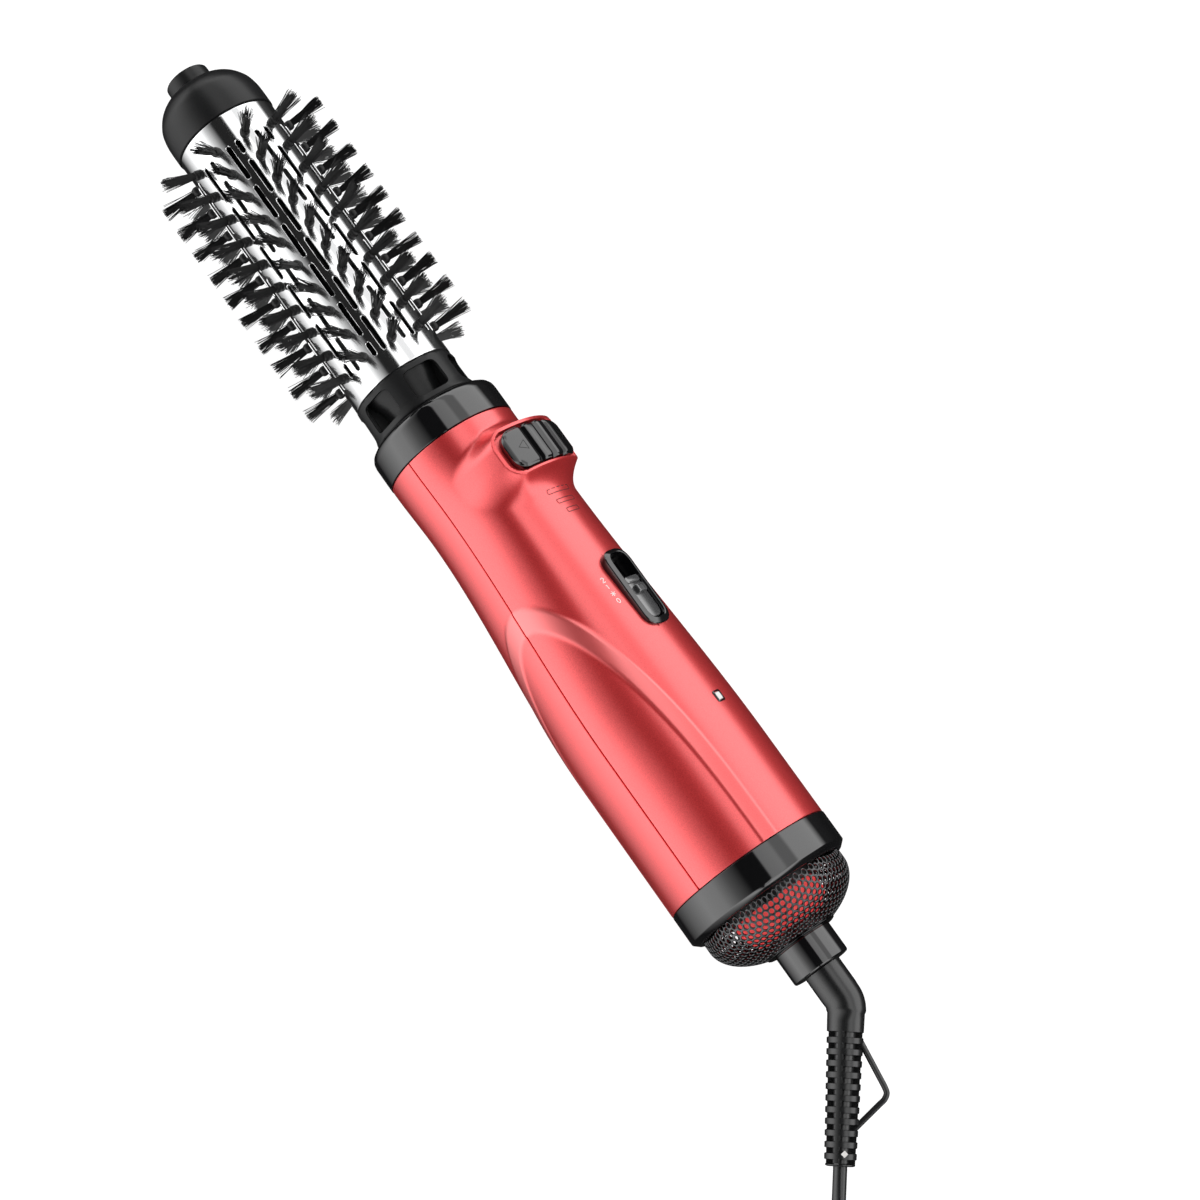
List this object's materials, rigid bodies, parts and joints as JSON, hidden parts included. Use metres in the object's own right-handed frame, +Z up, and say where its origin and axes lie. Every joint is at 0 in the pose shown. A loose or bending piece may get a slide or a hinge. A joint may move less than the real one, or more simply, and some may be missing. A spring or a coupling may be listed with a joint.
{
  "type": "hot air brush",
  "caption": "Rotating hot air styling brush: red blower handle, chrome barrel with bristle tufts, black rings, swivel mains cord.",
  "frame": {"origin": "on the surface that the brush lies on, below the middle of the brush's length, without its cord", "axes": "+Y along the brush towards its tip, +Z up, +X towards the side that the controls face"},
  "size_m": [0.1265, 0.5409, 0.0666],
  "materials": {
    "red_casing": "satin metallic red",
    "gloss_black": "polished",
    "grille": "satin",
    "charcoal": "fine spark texture",
    "barrel": "polished",
    "bristles": "nylon fibre",
    "steel": "turned",
    "pins": "nickel plated",
    "bush": "sintered",
    "nylon": "moulded",
    "mica": "layered",
    "board": "solder mask",
    "lens": "clear",
    "cord_black": "satin",
    "tie": "woven"
  },
  "bodies": {
    "cord_set": {"swivel_shaft": "cord_black", "strain_relief": "cord_black", "hang_loop": "cord_black", "cord": "cord_black", "cord_coil": "cord_black", "cord_tie": "tie", "plug_lead": "cord_black", "plug": "cord_black", "plug_pin_1": "pins", "plug_pin_2": "pins"},
    "handle": {"upper_shell": "red_casing", "lower_shell": "red_casing", "rear_ring": "gloss_black", "front_ring": "gloss_black", "intake_grille": "grille", "cord_sleeve": "gloss_black", "casing_screw_1": "steel", "casing_screw_2": "steel", "casing_screw_3": "steel", "casing_screw_4": "steel", "control_bed": "charcoal", "rotate_switch": "charcoal", "switch_bezel": "gloss_black", "slide_switch": "charcoal", "indicator_lens": "lens", "motor_bell": "red_casing", "fan_motor": "steel", "motor_plate": "steel", "drive_motor": "steel", "shaft_bush": "bush", "front_hub": "charcoal", "air_duct": "nylon", "heater_former": "mica", "heater_coil": "steel", "thermostat": "steel", "circuit_board": "board", "ion_module": "charcoal"},
    "brush_head": {"head_base": "charcoal", "brush_barrel": "barrel", "bristle_strip_1": "bristles", "bristle_strip_2": "bristles", "bristle_strip_3": "bristles", "bristle_strip_4": "bristles", "bristle_strip_5": "bristles", "bristle_strip_6": "bristles", "bristle_strip_7": "bristles", "bristle_strip_8": "bristles", "bristle_strip_9": "bristles", "bristle_strip_10": "bristles", "end_cap": "charcoal", "tip_knob": "charcoal", "drive_shaft": "steel", "drive_gear": "nylon"},
    "fan": {"fan_shaft": "steel", "impeller": "charcoal"},
    "pinion": {"drive_pinion": "nylon"},
    "slider": {"power_slider": "gloss_black"},
    "control": {"rotate_control": "gloss_black"}
  },
  "joints": [
    {"name": "cord_swivel", "type": "hinge", "parent": "cord_set", "child": "handle", "pos_m": [0, -0.19025, 0.0333], "axis": [0, 1, 0], "continuous": true},
    {"name": "brush_spin", "type": "hinge", "parent": "handle", "child": "brush_head", "pos_m": [0, 0.03775, 0.0333], "axis": [0, 1, 0], "continuous": true},
    {"name": "pinion_spin", "type": "hinge", "parent": "handle", "child": "pinion", "pos_m": [-0.00983, -0.04225, 0.02642], "axis": [0, 1, 0], "continuous": true},
    {"name": "fan_spin", "type": "hinge", "parent": "handle", "child": "fan", "pos_m": [0, -0.09225, 0.0333], "axis": [0, 1, 0], "continuous": true},
    {"name": "power_switch", "type": "slide", "parent": "handle", "child": "slider", "axis": [0, 1, 0], "range_m": [0, 0.008]},
    {"name": "rotate_switch_rock", "type": "hinge", "parent": "handle", "child": "control", "pos_m": [0, 0.004, 0.0333], "axis": [0, 1, 0], "range_deg": [-3, 3], "stiffness_Nm_per_rad": 0.2}
  ],
  "couplings": [
    {"joint": "pinion_spin", "follows": "brush_spin", "ratio": -3}
  ]
}
